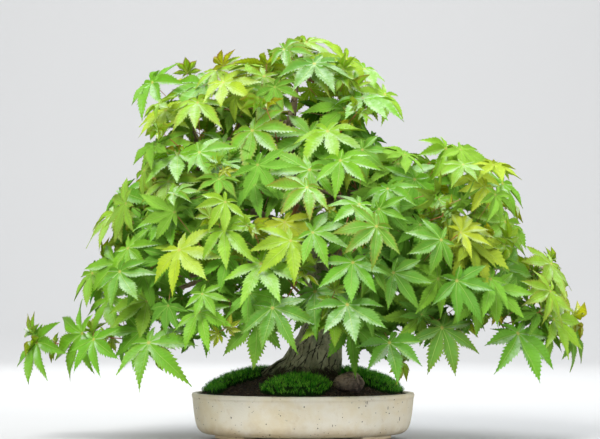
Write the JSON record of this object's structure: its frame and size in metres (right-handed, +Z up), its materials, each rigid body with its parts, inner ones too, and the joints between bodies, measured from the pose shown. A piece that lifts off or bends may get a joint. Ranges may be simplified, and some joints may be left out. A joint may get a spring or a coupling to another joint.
{
  "type": "potted bonsai maple tree",
  "caption": "Bonsai maple with a leaning, flared trunk, spreading branches and drooping lobed leaves, growing from mossy soil in a shallow oval footed pot.",
  "frame": {"origin": "middle of the part's footprint, on the surface that the pot's feet stand on", "axes": "+X to the tree's right as seen from its front, along the pot's length; +Y towards its back; +Z up"},
  "size_m": [0.659, 0.3974, 0.4789],
  "materials": {
    "glaze": "cream matte glaze with dark specks and rusty staining low down",
    "plastic_mesh": "black moulded drainage mesh",
    "soil": "damp dark granular soil",
    "moss": "dense soft green moss",
    "stone": "rough weathered brown stone",
    "bark": "grey-brown fissured bark",
    "leaf": "satin green leaves with pale veins on red stalks"
  },
  "bodies": {
    "root": {"pot": "glaze", "drainage_mesh_left": "plastic_mesh", "drainage_mesh_right": "plastic_mesh", "soil": "soil", "moss_left": "moss", "moss_left_end": "moss", "moss_front": "moss", "moss_right": "moss", "moss_back": "moss", "stone": "stone", "trunk_and_branches": "bark", "shoot_01": "leaf", "shoot_02": "leaf", "shoot_03": "leaf", "shoot_04": "leaf", "shoot_05": "leaf", "shoot_06": "leaf", "shoot_07": "leaf", "shoot_08": "leaf", "shoot_09": "leaf", "shoot_10": "leaf", "shoot_11": "leaf", "shoot_12": "leaf", "shoot_13": "leaf", "shoot_14": "leaf", "shoot_15": "leaf", "shoot_16": "leaf", "shoot_17": "leaf", "shoot_18": "leaf", "shoot_19": "leaf", "shoot_20": "leaf", "shoot_21": "leaf", "shoot_22": "leaf", "shoot_23": "leaf", "shoot_24": "leaf", "shoot_25": "leaf", "shoot_26": "leaf", "shoot_27": "leaf", "shoot_28": "leaf", "shoot_29": "leaf", "shoot_30": "leaf", "shoot_31": "leaf", "shoot_32": "leaf", "shoot_33": "leaf", "shoot_34": "leaf", "shoot_35": "leaf", "shoot_36": "leaf", "shoot_37": "leaf", "shoot_38": "leaf", "shoot_39": "leaf", "shoot_40": "leaf", "shoot_41": "leaf", "shoot_42": "leaf", "shoot_43": "leaf", "shoot_44": "leaf", "shoot_45": "leaf", "shoot_46": "leaf", "shoot_47": "leaf", "shoot_48": "leaf", "shoot_49": "leaf"}
  },
  "joints": []
}
